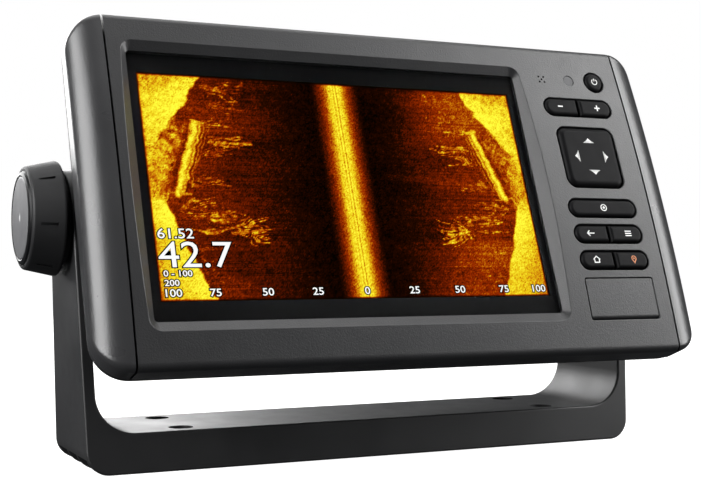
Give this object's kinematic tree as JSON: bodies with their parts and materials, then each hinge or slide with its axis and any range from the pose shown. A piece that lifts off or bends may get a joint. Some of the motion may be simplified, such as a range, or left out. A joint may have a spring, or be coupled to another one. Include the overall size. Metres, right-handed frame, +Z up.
{
  "type": "fish finder",
  "caption": "Boat fish finder: a flat display head with a key panel, card door and rear sockets, tilting in a U-shaped bracket between two clamping knobs.",
  "frame": {"origin": "centre of the four base holes, on the bracket's underside", "axes": "+Z up, the screen faces -Y and leans back, +X is the viewer's right"},
  "size_m": [0.2702, 0.0935, 0.1641],
  "materials": {
    "bezel_plastic": "fine moulded grain",
    "cap_plastic": "satin, fine moulded grain",
    "housing_plastic": "moulded",
    "bracket_nylon": "moulded, glass-filled",
    "knob_plastic": "satin",
    "knob_rubber": "matt overmould",
    "knob_disc_plastic": "satin",
    "washer_plastic": "smooth",
    "stainless_steel": "turned",
    "brass": "turned",
    "seal_rubber": "smooth",
    "lens_glass": "polished",
    "mask_ink": "printed border",
    "display": "polished",
    "frame_aluminium": "stamped",
    "circuit_board": "solder mask",
    "component_black": "moulded epoxy",
    "antenna_ceramic": "fired ceramic",
    "key_rubber": "coated silicone",
    "sensor_window": "tinted",
    "socket_plastic": "moulded",
    "contact_gold": "plated"
  },
  "bodies": {
    "bracket": {"mounting_bracket": "bracket_nylon", "left_friction_pad": "seal_rubber", "right_friction_pad": "seal_rubber"},
    "head": {"front_bezel": "bezel_plastic", "left_side_cap": "cap_plastic", "right_side_cap": "cap_plastic", "display_lens": "lens_glass", "lens_mask": "mask_ink", "lcd_panel": "display", "lcd_frame": "frame_aluminium", "main_board": "circuit_board", "board_chips": "component_black", "gps_antenna": "antenna_ceramic", "heat_spreader": "frame_aluminium", "board_screws": "stainless_steel", "key_mat": "key_rubber", "key_switches": "component_black", "keypad_board": "circuit_board", "beeper": "component_black", "light_sensor_window": "sensor_window", "card_door_pin": "stainless_steel", "card_socket": "socket_plastic", "card_door_seal": "seal_rubber", "rear_housing": "housing_plastic", "housing_seal": "seal_rubber", "housing_screws": "stainless_steel", "transducer_socket": "socket_plastic", "power_socket": "socket_plastic", "network_socket": "socket_plastic", "socket_pins": "contact_gold", "pressure_vent": "socket_plastic", "left_threaded_insert": "brass", "right_threaded_insert": "brass"},
    "zoom_out_key": {"zoom_out_key": "key_rubber"},
    "zoom_in_key": {"zoom_in_key": "key_rubber"},
    "select_key": {"select_key": "key_rubber"},
    "back_key": {"back_key": "key_rubber"},
    "menu_key": {"menu_key": "key_rubber"},
    "home_key": {"home_key": "key_rubber"},
    "mark_key": {"mark_key": "key_rubber"},
    "power_key": {"power_key": "key_rubber"},
    "pad_actuator": {"pad_actuator": "component_black"},
    "direction_pad": {"direction_pad": "key_rubber"},
    "card_door": {"card_door": "bezel_plastic"},
    "left_washer": {"left_washer": "washer_plastic"},
    "left_knob": {"left_knob_core": "knob_plastic", "left_knob_grip": "knob_rubber", "left_knob_disc": "knob_disc_plastic", "left_knob_stud": "stainless_steel"},
    "right_washer": {"right_washer": "washer_plastic"},
    "right_knob": {"right_knob_core": "knob_plastic", "right_knob_grip": "knob_rubber", "right_knob_disc": "knob_disc_plastic", "right_knob_stud": "stainless_steel"}
  },
  "joints": [
    {"name": "head_tilt", "type": "hinge", "parent": "bracket", "child": "head", "pos_m": [0, 0, 0.0913], "axis": [-1, 0, 0], "range_deg": [-22, 68]},
    {"name": "zoom_out_key_press", "type": "slide", "parent": "head", "child": "zoom_out_key", "axis": [0, 0.9342, -0.3567], "range_m": [0, 0.0008], "stiffness_N_per_m": 1500},
    {"name": "zoom_in_key_press", "type": "slide", "parent": "head", "child": "zoom_in_key", "axis": [0, 0.9342, -0.3567], "range_m": [0, 0.0008], "stiffness_N_per_m": 1500},
    {"name": "select_key_press", "type": "slide", "parent": "head", "child": "select_key", "axis": [0, 0.9342, -0.3567], "range_m": [0, 0.0008], "stiffness_N_per_m": 1500},
    {"name": "back_key_press", "type": "slide", "parent": "head", "child": "back_key", "axis": [0, 0.9342, -0.3567], "range_m": [0, 0.0008], "stiffness_N_per_m": 1500},
    {"name": "menu_key_press", "type": "slide", "parent": "head", "child": "menu_key", "axis": [0, 0.9342, -0.3567], "range_m": [0, 0.0008], "stiffness_N_per_m": 1500},
    {"name": "home_key_press", "type": "slide", "parent": "head", "child": "home_key", "axis": [0, 0.9342, -0.3567], "range_m": [0, 0.0008], "stiffness_N_per_m": 1500},
    {"name": "mark_key_press", "type": "slide", "parent": "head", "child": "mark_key", "axis": [0, 0.9342, -0.3567], "range_m": [0, 0.0008], "stiffness_N_per_m": 1500},
    {"name": "power_key_press", "type": "slide", "parent": "head", "child": "power_key", "axis": [0, 0.9342, -0.3567], "range_m": [0, 0.0008], "stiffness_N_per_m": 1500},
    {"name": "pad_up_down", "type": "hinge", "parent": "head", "child": "pad_actuator", "pos_m": [0.0866, -0.03188, 0.11462], "axis": [1, 0, 0], "range_deg": [-1.4, 1.4], "stiffness_Nm_per_rad": 0.6},
    {"name": "pad_left_right", "type": "hinge", "parent": "pad_actuator", "child": "direction_pad", "pos_m": [0.0866, -0.03211, 0.11471], "axis": [0, 0.3567, 0.9342], "range_deg": [-1.4, 1.4], "stiffness_Nm_per_rad": 0.6},
    {"name": "card_door_hinge", "type": "hinge", "parent": "head", "child": "card_door", "pos_m": [0.087, -0.06101, 0.05414], "axis": [1, 0, 0], "range_deg": [0, 90]},
    {"name": "left_washer_slide", "type": "slide", "parent": "bracket", "child": "left_washer", "axis": [-1, 0, 0], "range_m": [0, 0.00251]},
    {"name": "left_knob_turn", "type": "hinge", "parent": "left_washer", "child": "left_knob", "pos_m": [0, 0, 0.0913], "axis": [-1, 0, 0], "range_deg": [0, 720]},
    {"name": "right_washer_slide", "type": "slide", "parent": "bracket", "child": "right_washer", "axis": [1, 0, 0], "range_m": [0, 0.00251]},
    {"name": "right_knob_turn", "type": "hinge", "parent": "right_washer", "child": "right_knob", "pos_m": [0, 0, 0.0913], "axis": [1, 0, 0], "range_deg": [0, 720]}
  ],
  "couplings": [
    {"joint": "left_washer_slide", "follows": "left_knob_turn", "m_per_rad": 0.00019894},
    {"joint": "right_washer_slide", "follows": "right_knob_turn", "m_per_rad": 0.00019894}
  ]
}
